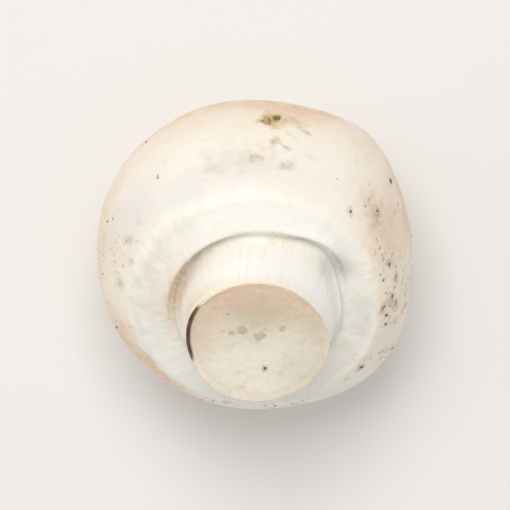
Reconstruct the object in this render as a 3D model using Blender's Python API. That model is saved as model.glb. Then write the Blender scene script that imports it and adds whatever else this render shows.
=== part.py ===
"""Button mushroom: one closed-cup mushroom with its stem cut short, lying on its cap.

Metres, +Z up. The cap rests on a small flat spot, and the centre of that spot is the origin.
The stem points up and leans towards -Y, so the ring groove and the cut end both show from above.
Distances along the mushroom's own axis run from the crown (negative) to the cut end (positive),
with zero at the widest ring of the cap.
"""
import math

import bmesh
import bpy
from mathutils import Matrix, Vector

MM = 0.001

CAP_RADIUS = 22.9
CROWN_DEPTH = 20.6
CROWN_FULLNESS = 2.18
SKIRT_DEPTH = 16.8
SKIRT_INNER = 8.0
SKIRT_FULLNESS = 2.5
MARGIN_RADIUS = 17.6

STEM_OFFSET = 0.65
STEM_TOP_RADIUS = 11.0
STEM_CUT_RADIUS = 10.3
CUT_HEIGHT = 24.6
CUT_EDGE = 0.36
CUT_DISH = 0.25

LIP_RADIUS = 13.25
LIP_HEIGHT = 15.8
GROOVE_RADIUS = 11.9
GROOVE_FLOOR = 14.1

# Where the groove is closed: how far, angle and spread in degrees.
GROOVE_CLOSURES = (
    (0.88, -12.0, 36.0),
    (1.2, 222.0, 36.0),
    (0.35, 88.0, 22.0),
)
MOST_CLOSED = 0.92

# Swellings: millimetres outwards, angle and spread in degrees, height and its spread. The veil's flare,
# and its dent, which goes down, give a distance from the stem's axis and its spread instead of a height.
CAP_SWELLINGS = (
    (-0.5, 136.0, 26.0, -6.0, 11.0),
    (-0.35, 92.0, 22.0, -10.0, 9.0),
    (1.95, -42.0, 28.0, 6.0, 11.0),
    (1.65, 43.0, 19.0, -7.0, 12.0),
)
STEM_SWELLINGS = (
    (0.5, 148.0, 26.0, 25.0, 6.0),
    (-0.4, 205.0, 26.0, 23.0, 6.0),
)
VEIL_FLARE = (1.5, 46.0, 21.0, 12.8, 2.3)
VEIL_DENT = (-0.8, 28.0, 16.0, 14.3, 2.0)
VEIL_BEGINS = 10.0
FLARE_TOP = 15.5
FLARE_FADE = 2.6

LEAN = math.radians(32.0)
REST_DEPTH = 1.05
REST_SOFTNESS = 0.12
SLIVER = 0.7

SEGMENTS = 72
CROWN_RINGS = 19
SKIRT_RINGS = 12
VEIL_STEPS = 2
CUT_RINGS = 2

SKIN_COLOUR = (0.86, 0.80, 0.70, 1.0)


def bump(value, centre, width):
    """Bell curve: one at the centre, falling smoothly to nothing past the width."""
    return math.exp(-((value - centre) / width) ** 2)


def angle_bump(angle, centre_deg, width_deg):
    """Bell curve round the axis, measured the short way from the centre angle."""
    apart = (angle - math.radians(centre_deg) + math.pi) % (2 * math.pi) - math.pi
    return bump(apart, 0.0, math.radians(width_deg))


def superellipse(turn, across, along, power):
    """Point on a full rounded quarter curve; turn runs from 0 at the side to 90 degrees at the tip."""
    x = across * max(math.cos(turn), 0.0) ** (2.0 / power)
    y = along * max(math.sin(turn), 0.0) ** (2.0 / power)
    return x, y


def crown_profile():
    """Radius and height of each ring from just below the pole to the widest ring."""
    rings = []
    for i in range(1, CROWN_RINGS + 1):
        turn = math.pi / 2 * (1.0 - i / CROWN_RINGS)
        radius, depth = superellipse(turn, CAP_RADIUS, CROWN_DEPTH, CROWN_FULLNESS)
        rings.append((radius, -depth))
    return rings


def skirt_profile():
    """Rings from the widest ring round to the inrolled margin of the cap."""
    span = CAP_RADIUS - SKIRT_INNER
    last = math.acos(((MARGIN_RADIUS - SKIRT_INNER) / span) ** (SKIRT_FULLNESS / 2.0))
    rings = []
    for i in range(1, SKIRT_RINGS + 1):
        turn = last * i / SKIRT_RINGS
        radius, height = superellipse(turn, span, SKIRT_DEPTH, SKIRT_FULLNESS)
        rings.append((SKIRT_INNER + radius, height))
    return rings


def veil_points(closed):
    """Veil, ring lip, groove and stem foot; closed = 1 fills the groove with a plain hollow bend."""
    grooved = [
        (16.3, 14.75),
        (15.1, 15.2),
        (LIP_RADIUS + 0.85, LIP_HEIGHT - 0.28),
        (LIP_RADIUS, LIP_HEIGHT),
        (LIP_RADIUS - 0.6, LIP_HEIGHT - 0.22),
        (GROOVE_RADIUS + 0.65, GROOVE_FLOOR + 0.62),
        (GROOVE_RADIUS, GROOVE_FLOOR),
        (STEM_TOP_RADIUS + 0.42, GROOVE_FLOOR + 0.32),
        (STEM_TOP_RADIUS + 0.12, GROOVE_FLOOR + 1.5),
        (STEM_TOP_RADIUS, GROOVE_FLOOR + 3.2),
    ]
    filled = [
        (16.3, 14.6),
        (15.1, 14.8),
        (14.25, 14.9),
        (13.5, 15.0),
        (12.9, 15.15),
        (12.4, 15.38),
        (11.95, 15.72),
        (11.6, 16.15),
        (11.3, 16.8),
        (STEM_TOP_RADIUS, GROOVE_FLOOR + 3.7),
    ]
    return [(g[0] + (f[0] - g[0]) * closed, g[1] + (f[1] - g[1]) * closed) for g, f in zip(grooved, filled)]


def stem_points():
    """Stem side up to the knife cut, with the cut's narrow rounded edge."""
    low = GROOVE_FLOOR + 3.2
    rise = CUT_HEIGHT - low
    return [
        (STEM_TOP_RADIUS - 0.22, low + 0.30 * rise),
        (STEM_CUT_RADIUS - 0.02, low + 0.62 * rise),
        (STEM_CUT_RADIUS, CUT_HEIGHT - 2.0 * CUT_EDGE),
        (STEM_CUT_RADIUS - 0.4 * CUT_EDGE, CUT_HEIGHT - 0.3 * CUT_EDGE),
        (STEM_CUT_RADIUS - 1.3 * CUT_EDGE, CUT_HEIGHT),
    ]


def smooth_path(points, steps):
    """Catmull-Rom curve through the points, the given number of steps between each pair."""
    path = []
    for i in range(1, len(points) - 2):
        before, start, end, after = points[i - 1:i + 3]
        for k in range(steps):
            t = k / steps
            path.append(tuple(
                0.5 * (2 * b + (c - a) * t + (2 * a - 5 * b + 4 * c - d) * t * t
                       + (3 * b - a - 3 * c + d) * t ** 3)
                for a, b, c, d in zip(before, start, end, after)
            ))
    path.append(points[-2])
    return path


def groove_closing(angle):
    """How far the veil runs into the stem without a groove: most on +X and on the -X side's front."""
    total = sum(share * angle_bump(angle, centre, spread) for share, centre, spread in GROOVE_CLOSURES)
    return min(total, MOST_CLOSED)


def full_profile(angle):
    """Whole outline at one angle, from below the pole to the last ring of the cut face."""
    rings = crown_profile() + skirt_profile()
    knots = rings[-2:] + veil_points(groove_closing(angle)) + stem_points()
    knots.append((STEM_CUT_RADIUS - 3.0, CUT_HEIGHT))
    rings += smooth_path(knots, VEIL_STEPS)[1:]
    edge = rings[-1][0]
    for i in range(1, CUT_RINGS + 1):
        share = 1.0 - i / (CUT_RINGS + 1)
        rings.append((edge * share, CUT_HEIGHT - CUT_DISH * (1.0 - share ** 2)))
    return rings


def stem_share(height):
    """Zero on the cap, one on the stem, eased across the veil."""
    t = min(max((height - 9.0) / 5.0, 0.0), 1.0)
    return t * t * (3.0 - 2.0 * t)


def swelling(angle, height, item):
    """Bell-shaped swelling round one angle and one height, in millimetres outwards."""
    amount, centre, spread, level, reach = item
    return amount * angle_bump(angle, centre, spread) * bump(height, level, reach)


def cap_lump(angle, height):
    """Uneven form of the cap: slow waves round it and a few swellings."""
    side = 1.0 - (height / (CROWN_DEPTH + 1.0)) ** 2
    slow = 0.28 * math.cos(2.0 * angle + 0.9) + 0.2 * math.cos(3.0 * angle - 1.0)
    slow += 0.12 * math.cos(5.0 * angle + 0.4 + 0.12 * height)
    return max(side, 0.0) * slow + sum(swelling(angle, height, item) for item in CAP_SWELLINGS)


def stem_lump(angle, height):
    """Slight out-of-round of the stem, with a fuller corner and a shallow hollow on its -X side."""
    slow = 0.14 * math.cos(2.0 * angle - 0.5) + 0.09 * math.cos(3.0 * angle + 1.3)
    return slow + sum(swelling(angle, height, item) for item in STEM_SWELLINGS)


def veil_flare(angle, radius, height):
    """Outward sweep of the lip, the groove and the stem's foot, fading up the stem."""
    if height < VEIL_BEGINS:
        return 0.0
    return swelling(angle, radius, VEIL_FLARE) * bump(max(height, FLARE_TOP), FLARE_TOP, FLARE_FADE)


def veil_dent(angle, radius, height):
    """Soft dent of the veil beside the closed stretch of the groove."""
    return swelling(angle, radius, VEIL_DENT) if height >= VEIL_BEGINS else 0.0


def surface_point(angle, radius, height):
    """Point of the finished outside, in metres, before the mushroom is laid down."""
    share = stem_share(height)
    lump = cap_lump(angle, height) * (1.0 - share) + stem_lump(angle, height) * share
    reach = radius + lump * min(radius / 9.0, 1.0) + veil_flare(angle, radius, height)
    x = reach * math.cos(angle) + STEM_OFFSET * share
    y = reach * math.sin(angle)
    z = height + veil_dent(angle, radius, height) + 0.02 * x * share
    return Vector((x, y, z)) * MM


def add_grid(mesh):
    """Rings of the outline joined by quads, closed at the crown and at the cut face."""
    rows = []
    for k in range(SEGMENTS):
        angle = 2.0 * math.pi * k / SEGMENTS
        rows.append([mesh.verts.new(surface_point(angle, r, h)) for r, h in full_profile(angle)])
    crown = mesh.verts.new(surface_point(0.0, 0.0, -CROWN_DEPTH))
    middle = mesh.verts.new(surface_point(0.0, 0.0, CUT_HEIGHT - CUT_DISH))
    for k in range(SEGMENTS):
        here = rows[k]
        there = rows[(k + 1) % SEGMENTS]
        mesh.faces.new((crown, there[0], here[0]))
        for i in range(len(here) - 1):
            mesh.faces.new((here[i], there[i], there[i + 1], here[i + 1]))
        mesh.faces.new((here[-1], there[-1], middle))


def lay_down(mesh):
    """Lean the stem towards -Y and press the underside of the cap softly flat."""
    bmesh.ops.transform(mesh, matrix=Matrix.Rotation(LEAN, 4, "X"), verts=mesh.verts)
    floor = min(v.co.z for v in mesh.verts) + REST_DEPTH * MM
    soft = REST_SOFTNESS * MM
    for v in mesh.verts:
        above = (v.co.z - floor) / soft
        if above < 30.0:
            v.co.z = floor + soft * math.log1p(math.exp(above))
    return floor + 1.2 * soft


def cut_rest_spot(mesh, level):
    """Trim the cap to a true plane at the level and move the middle of that plane to the origin."""
    parts = mesh.verts[:] + mesh.edges[:] + mesh.faces[:]
    bmesh.ops.bisect_plane(mesh, geom=parts, plane_co=(0.0, 0.0, level), plane_no=(0.0, 0.0, 1.0),
                           clear_inner=True)
    rim = [e for e in mesh.edges if e.is_boundary]
    spot = bmesh.ops.contextual_create(mesh, geom=rim)["faces"][0]
    middle = spot.calc_center_median_weighted()
    bmesh.ops.translate(mesh, vec=-middle, verts=mesh.verts)
    for v in spot.verts:
        v.co.z = 0.0
    return spot


def weld_slivers(mesh, spot):
    """Draw every vertex that almost touches the rim of the rest spot onto the rim."""
    rim = set(spot.verts)
    onto = {}
    for v in spot.verts:
        for edge in v.link_edges:
            other = edge.other_vert(v)
            if other not in rim and edge.calc_length() < SLIVER * MM:
                onto[other] = v
    bmesh.ops.weld_verts(mesh, targetmap=onto)


def skin_material():
    """Dry matt mushroom flesh and skin."""
    material = bpy.data.materials.new("mushroom_skin")
    material.use_nodes = True
    shader = material.node_tree.nodes["Principled BSDF"]
    shader.inputs["Base Color"].default_value = SKIN_COLOUR
    shader.inputs["Roughness"].default_value = 0.65
    shader.inputs["Metallic"].default_value = 0.0
    return material


def build_mushroom():
    """Cap, veil, ring groove, stem and cut end as one closed body."""
    mesh = bmesh.new()
    add_grid(mesh)
    level = lay_down(mesh)
    spot = cut_rest_spot(mesh, level)
    weld_slivers(mesh, spot)
    bmesh.ops.recalc_face_normals(mesh, faces=mesh.faces)
    for face in mesh.faces:
        face.smooth = face is not spot
    data = bpy.data.meshes.new("button_mushroom")
    mesh.to_mesh(data)
    mesh.free()
    data.materials.append(skin_material())
    body = bpy.data.objects.new("button_mushroom", data)
    bpy.context.scene.collection.objects.link(body)
    return body


def clear_scene():
    """Take every object out of the open scene."""
    for item in list(bpy.data.objects):
        bpy.data.objects.remove(item, do_unlink=True)


clear_scene()
build_mushroom()
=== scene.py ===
# White button mushroom lying on its cap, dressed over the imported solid.
# Lengths in the dictionaries are millimetres and angles degrees, round the mushroom's own axis:
# 0 is +X, 90 the side away from the lean, heights run from the crown (below) to the cut end.
import bpy
import numpy as np
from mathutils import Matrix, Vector


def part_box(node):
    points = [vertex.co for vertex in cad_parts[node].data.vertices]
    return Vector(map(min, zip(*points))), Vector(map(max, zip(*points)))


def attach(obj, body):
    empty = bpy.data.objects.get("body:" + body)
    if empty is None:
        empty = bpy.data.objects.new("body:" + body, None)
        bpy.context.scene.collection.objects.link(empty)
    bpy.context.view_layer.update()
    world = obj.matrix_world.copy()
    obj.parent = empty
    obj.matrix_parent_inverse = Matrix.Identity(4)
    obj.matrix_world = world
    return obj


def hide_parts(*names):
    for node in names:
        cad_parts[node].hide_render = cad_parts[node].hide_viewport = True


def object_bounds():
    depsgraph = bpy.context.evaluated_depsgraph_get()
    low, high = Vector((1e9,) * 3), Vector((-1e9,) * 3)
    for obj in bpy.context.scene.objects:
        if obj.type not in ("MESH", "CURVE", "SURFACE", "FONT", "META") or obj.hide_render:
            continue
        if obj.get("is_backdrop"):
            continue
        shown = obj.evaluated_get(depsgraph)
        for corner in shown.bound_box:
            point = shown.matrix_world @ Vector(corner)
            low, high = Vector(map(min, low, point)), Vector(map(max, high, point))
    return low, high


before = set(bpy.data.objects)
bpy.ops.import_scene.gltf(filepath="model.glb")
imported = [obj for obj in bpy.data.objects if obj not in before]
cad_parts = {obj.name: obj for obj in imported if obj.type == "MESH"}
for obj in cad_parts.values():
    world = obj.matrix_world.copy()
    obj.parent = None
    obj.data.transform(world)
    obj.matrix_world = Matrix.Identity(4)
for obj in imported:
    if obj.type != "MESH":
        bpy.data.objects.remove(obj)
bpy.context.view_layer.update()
nodeLow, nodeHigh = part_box("button_mushroom")
mm = 0.001

# points round the axis, and rings over the crown, the skirt, each knot's span and the cut face
grid = dict(around=560, crown=64, skirt=50, step=7, face=70)
spans = dict(groove=7, edge=15)  # knot spans from the margin to the groove's floor and to the cut's edge

# waves: millimetres outwards, how many round the axis, where they start, their twist with height
# swellings: millimetres outwards, angle and spread, height and its spread
cap = dict(radius=22.9, crownDepth=20.6, crownFull=2.18, skirtDepth=16.8, skirtInner=8.0,
           skirtFull=2.5, margin=17.6, still=9.0,
           waves=[(0.28, 2.0, 0.9, 0.0), (0.2, 3.0, -1.0, 0.0), (0.12, 5.0, 0.4, 0.12)],
           swellings=[(-0.5, 136, 26, -6, 11), (-0.35, 92, 22, -10, 9), (1.95, -42, 28, 6, 11),
                      (1.65, 43, 19, -7, 12)])

# closures of the groove: how far, angle and spread; flare and dent are swellings over radius, not height
veil = dict(lipRadius=13.25, lipHeight=15.8, grooveRadius=11.9, grooveFloor=14.1, begins=10.0,
            closures=[(0.88, -12, 36), (1.2, 222, 36), (0.35, 88, 22)], mostClosed=0.92,
            flare=(1.5, 46, 21, 12.8, 2.3), flareTop=15.5, flareFade=2.6, dent=(-0.8, 28, 16, 14.3, 2.0))

stem = dict(offset=0.65, slope=0.02, blend=(9.0, 14.0), foot=11.0, cutRadius=10.3, cutHeight=24.6,
            edge=0.36, dish=0.25, waves=[(0.14, 2.0, -0.5, 0.0), (0.09, 3.0, 1.3, 0.0)],
            swellings=[(0.5, 148, 26, 25, 6), (-0.4, 205, 26, 23, 6)])

rest = dict(lean=32.0, soft=0.12, shrink=0.998)  # soft: how gently the underside meets the flat spot


def bump(value, centre, width):
    # bell curve: one at the centre, falling to nothing past the width
    return np.exp(-((value - centre) / width) ** 2)


def angleBump(angle, centre, width):
    # the same bell, measured the short way round the axis
    apart = (angle - np.radians(centre) + np.pi) % (2 * np.pi) - np.pi
    return np.exp(-(apart / np.radians(width)) ** 2)


def ease(value, low, high):
    # smooth step: nought below low, one above high, 3t^2 - 2t^3 between
    t = np.clip((value - low) / (high - low), 0.0, 1.0)
    return t * t * (3.0 - 2.0 * t)


def softNoise(points, size, seed):
    # value noise: random heights on a cubic lattice of the given cell size, blended with an eased weight
    table = np.random.default_rng(seed).random((32, 32, 32)) * 2.0 - 1.0
    at = points / size
    cell = np.floor(at).astype(int)
    part = at - cell
    part = part * part * (3.0 - 2.0 * part)
    total = 0.0
    for corner in range(8):
        step = np.array([corner & 1, corner >> 1 & 1, corner >> 2])
        here = (cell + step) % 32
        weight = np.prod(np.where(step, part, 1.0 - part), axis=-1)
        total += weight * table[here[..., 0], here[..., 1], here[..., 2]]
    return total


def layeredNoise(points, size, seed, layers=3):
    # sum of soft noises, each half the size and half the height of the one before
    total = 0.0
    for k in range(layers):
        total += softNoise(points, size / 2 ** k, seed + 7 * k) / 2 ** k
    return total / 1.5


def crownOutline():
    # superellipse quarter from the pole to the widest ring
    turn = np.pi / 2 * (1.0 - np.arange(1, grid["crown"] + 1) / grid["crown"])
    power = 2.0 / cap["crownFull"]
    return np.stack([cap["radius"] * np.cos(turn) ** power,
                     -cap["crownDepth"] * np.sin(turn) ** power], axis=-1)


def skirtOutline(turn):
    # superellipse from the widest ring round to the margin, swung about an inner circle
    span = cap["radius"] - cap["skirtInner"]
    power = 2.0 / cap["skirtFull"]
    return np.stack([cap["skirtInner"] + span * np.cos(turn) ** power,
                     cap["skirtDepth"] * np.sin(turn) ** power], axis=-1)


def veilKnots(closed):
    # listed points over the veil, lip and groove; closed blends each towards a plain hollow bend
    lip, high = veil["lipRadius"], veil["lipHeight"]
    groove, floor, foot = veil["grooveRadius"], veil["grooveFloor"], stem["foot"]
    grooved = np.array([(16.3, 14.75), (15.1, 15.2), (lip + 0.85, high - 0.28), (lip, high),
                        (lip - 0.6, high - 0.22), (groove + 0.65, floor + 0.62), (groove, floor),
                        (foot + 0.42, floor + 0.32), (foot + 0.12, floor + 1.5), (foot, floor + 3.2)])
    filled = np.array([(16.3, 14.6), (15.1, 14.8), (14.25, 14.9), (13.5, 15.0), (12.9, 15.15),
                       (12.4, 15.38), (11.95, 15.72), (11.6, 16.15), (11.3, 16.8), (foot, floor + 3.7)])
    return grooved + (filled - grooved) * closed[:, None, None]


def stemKnots():
    # stem side with a slight waist, then the narrow rounded edge of the knife cut
    low = veil["grooveFloor"] + 3.2
    rise = stem["cutHeight"] - low
    cut, edge, high = stem["cutRadius"], stem["edge"], stem["cutHeight"]
    return np.array([(stem["foot"] - 0.22, low + 0.30 * rise), (cut - 0.02, low + 0.62 * rise),
                     (cut, high - 2.0 * edge), (cut - 0.4 * edge, high - 0.3 * edge),
                     (cut - 1.3 * edge, high), (cut - 3.0, high)])


def smoothPath(knots, steps):
    # Catmull-Rom curve through the knots of every angle at once
    a, b, c, d = knots[:, :-3], knots[:, 1:-2], knots[:, 2:-1], knots[:, 3:]
    t = (np.arange(steps) / steps)[None, None, :, None]
    a, b, c, d = (k[:, :, None, :] for k in (a, b, c, d))
    path = 0.5 * (2 * b + (c - a) * t + (2 * a - 5 * b + 4 * c - d) * t ** 2
                  + (3 * b - a - 3 * c + d) * t ** 3)
    path = path.reshape(len(knots), -1, 2)
    return np.concatenate([path, knots[:, -2:-1]], axis=1)


def allRound(fixed, angle):
    # the same points at every angle
    return np.broadcast_to(fixed, (len(angle),) + fixed.shape)


def grooveClosing(angle):
    # how far the veil runs into the stem without a groove: bells round the axis, added and capped
    total = sum(share * angleBump(angle, centre, spread) for share, centre, spread in veil["closures"])
    return np.minimum(total, veil["mostClosed"])


def outline(angle):
    # radius and height along the whole outside at each angle, with the index of the groove's floor
    span = cap["radius"] - cap["skirtInner"]
    last = np.arccos(((cap["margin"] - cap["skirtInner"]) / span) ** (cap["skirtFull"] / 2.0))
    skirt = skirtOutline(last * np.arange(1, grid["skirt"] + 1) / grid["skirt"])
    lead = skirtOutline(last * np.array([11.0 / 12.0, 1.0]))  # gives the smooth path its first direction
    knots = [allRound(lead, angle), veilKnots(grooveClosing(angle)), allRound(stemKnots(), angle)]
    path = smoothPath(np.concatenate(knots, axis=1), grid["step"])[:, 1:]
    share = 1.0 - np.arange(1, grid["face"] + 1)[None, :] / (grid["face"] + 1)
    dished = stem["cutHeight"] - stem["dish"] * (1.0 - share ** 2)
    face = np.stack([path[:, -1:, 0] * share, dished + 0.0 * path[:, -1:, 0]], axis=-1)
    whole = [allRound(crownOutline(), angle), allRound(skirt, angle), path, face]
    return np.concatenate(whole, axis=1), grid["crown"] + grid["skirt"] + spans["groove"] * grid["step"] - 1


def swelling(angle, level, item):
    # bell-shaped swelling: an amount times a bell round the axis times one over height or radius
    amount, centre, spread, height, reach = item
    return amount * angleBump(angle, centre, spread) * bump(level, height, reach)


def swellings(angle, level, items):
    # swellings added up
    return sum(swelling(angle, level, item) for item in items)


def waves(angle, height, items):
    # slow waves: cosines of a few turns round the axis, each twisted a little with height
    return sum(amount * np.cos(count * angle + start + twist * height)
               for amount, count, start, twist in items)


def capLump(angle, height):
    # slow waves round the cap, dying out towards the crown's pole, and a few swellings
    side = np.maximum(1.0 - (height / (cap["crownDepth"] + 1.0)) ** 2, 0.0)
    return side * waves(angle, height, cap["waves"]) + swellings(angle, height, cap["swellings"])


def stemLump(angle, height):
    # slight out-of-round, with a fuller corner and a shallow hollow on the -X side
    return waves(angle, height, stem["waves"]) + swellings(angle, height, stem["swellings"])


def standingPoints(angle, radius, height):
    # turned outline, swollen by the lumps, with the stem set off centre: upright, in millimetres
    share = ease(height, *stem["blend"])
    lump = capLump(angle, height) * (1.0 - share) + stemLump(angle, height) * share
    inside, top = height >= veil["begins"], veil["flareTop"]
    above = np.maximum(height, top)
    flare = swelling(angle, radius, veil["flare"]) * bump(above, top, veil["flareFade"])
    reach = radius + lump * np.minimum(radius / cap["still"], 1.0) + flare * inside
    x = reach * np.cos(angle) + stem["offset"] * share
    y = reach * np.sin(angle)
    dent = swelling(angle, radius, veil["dent"]) * inside
    return np.stack([x, y, height + dent + stem["slope"] * x * share], axis=-1)


def unit(vectors):
    # each vector over its own length
    return vectors / np.maximum(np.linalg.norm(vectors, axis=-1, keepdims=True), 1e-9)


def outwards(points):
    # unit normals of a grid closed round its first axis: the two edge directions crossed
    around = np.roll(points, -1, axis=0) - np.roll(points, 1, axis=0)
    return unit(np.cross(around, np.gradient(points, axis=1)))


def leaned(points):
    # turn about X by the lean, so the cut end tips towards -Y
    c, s = np.cos(np.radians(rest["lean"])), np.sin(np.radians(rest["lean"]))
    return np.stack([points[..., 0], points[..., 1] * c - points[..., 2] * s,
                     points[..., 1] * s + points[..., 2] * c], axis=-1)


angles = 2.0 * np.pi * np.arange(grid["around"]) / grid["around"]
profile, seam = outline(angles)
turned = angles[:, None] + 0.0 * profile[..., 0]
radii, heights = profile[..., 0], profile[..., 1]
acrossX, acrossY = radii * np.cos(turned), radii * np.sin(turned)  # before the lumps, seen along the axis
standing = standingPoints(turned, radii, heights)
normals = outwards(standing)
travel = np.concatenate([[0.0], np.cumsum(np.linalg.norm(np.diff(profile[0], axis=0), axis=1))])
bare = leaned(standing)
middle = (np.array(nodeLow) + np.array(nodeHigh)) / 2 / mm
shift = middle - (bare.reshape(-1, 3).min(0) + bare.reshape(-1, 3).max(0)) / 2
shift[2] = nodeHigh.z / mm - bare[..., 2].max()
print("shape: outline of", profile.shape[1], "rings, shift", shift.round(3))


def laidDown(points):
    # lean, move onto the rest spot, draw in a hair, press the underside softly flat; metres
    moved = leaned(points) + shift
    moved = middle + (moved - middle) * rest["shrink"]
    soft = rest["soft"]
    level = -1.2 * soft
    pressed = level + soft * np.logaddexp(0.0, (moved[..., 2] - level) / soft)
    moved[..., 2] = np.maximum(pressed, 0.0)
    return moved * mm


def gridPiece(name, rows, first, last, marks):
    # rings of points closed round the axis, a point closing each end; marks are values kept per point
    around, rings = rows.shape[:2]
    points = np.concatenate([rows.reshape(-1, 3), first[None], last[None]])
    here = np.arange(around)[:, None] * rings + np.arange(rings - 1)[None, :]
    there = np.roll(here, -1, axis=0)
    quads = np.stack([here, there, there + 1, here + 1], axis=-1).reshape(-1, 4)
    start = np.arange(around) * rings
    after = np.roll(start, -1)
    low = np.stack([np.full(around, around * rings), after, start], axis=-1)
    high = np.stack([start + rings - 1, after + rings - 1, np.full(around, around * rings + 1)], axis=-1)
    kept = {}
    for mark, values in marks.items():
        ends = np.stack([values[:, 0].mean(axis=0), values[:, -1].mean(axis=0)])  # the two poles
        kept[mark] = np.concatenate([values.reshape((-1,) + values.shape[2:]), ends])
    return meshPiece(name, points, quads.tolist() + low.tolist() + high.tolist(), kept)


def meshPiece(name, points, faces, marks):
    # a smooth mesh at the origin, unturned and unscaled, with values kept at its points
    mesh = bpy.data.meshes.new(name)
    mesh.from_pydata(points.tolist(), [], faces)
    mesh.shade_smooth()
    for mark, values in marks.items():
        kind, field = ("FLOAT_VECTOR", "vector") if values.ndim == 2 else ("FLOAT", "value")
        layer = mesh.attributes.new(mark, kind, "POINT")
        layer.data.foreach_set(field, values.ravel().astype(np.float32))
    piece = bpy.data.objects.new(name, mesh)
    bpy.context.scene.collection.objects.link(piece)
    return piece


def manyPiece(name, bodies, faces, shade):
    # many small closed bodies of one layout: bodies (count, points, 3), faces of one body, a shade for each
    count, size = bodies.shape[:2]
    first = np.arange(count)[:, None, None] * size
    every = [face for group in faces for face in (group + first).reshape(-1, group.shape[1]).tolist()]
    return meshPiece(name, bodies.reshape(-1, 3), every, dict(shade=np.repeat(shade, size)))


def onSurface(field, angle, along):
    # value of a grid at any angle and any ring number, by blending its four nearest corners
    a = (angle / (2 * np.pi)) % 1.0 * grid["around"]
    i, r = np.floor(a).astype(int), np.floor(along).astype(int)
    u, v = (a - i)[..., None], (along - r)[..., None]
    j = (i + 1) % grid["around"]
    i = i % grid["around"]
    low = field[i, r] * (1 - u) + field[j, r] * u
    high = field[i, r + 1] * (1 - u) + field[j, r + 1] * u
    return low * (1 - v) + high * v


marginRing = grid["crown"] + grid["skirt"] - 1
edgeRing = marginRing + spans["edge"] * grid["step"]
pastSeam = travel - travel[seam]  # millimetres along the outline past the groove's floor
pastEdge = travel - travel[edgeRing]  # and past the edge of the cut


def ringAt(height):
    # ring number on the cap where the outline reaches this height
    return np.interp(height, heights[0, :marginRing + 1], np.arange(marginRing + 1))


def faceRing(radius):
    # ring number on the cut face at this distance from its middle
    return edgeRing + (1.0 - radius / radii[0, edgeRing]) * (grid["face"] + 1)


def paint(red, green, blue):
    # display colour of 0 to 255 to the linear values that shaders use
    shown = np.array([red, green, blue]) / 255.0
    linear = np.where(shown <= 0.04045, shown / 12.92, ((shown + 0.055) / 1.055) ** 2.4)
    return tuple(float(v) for v in linear) + (1.0,)


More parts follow.
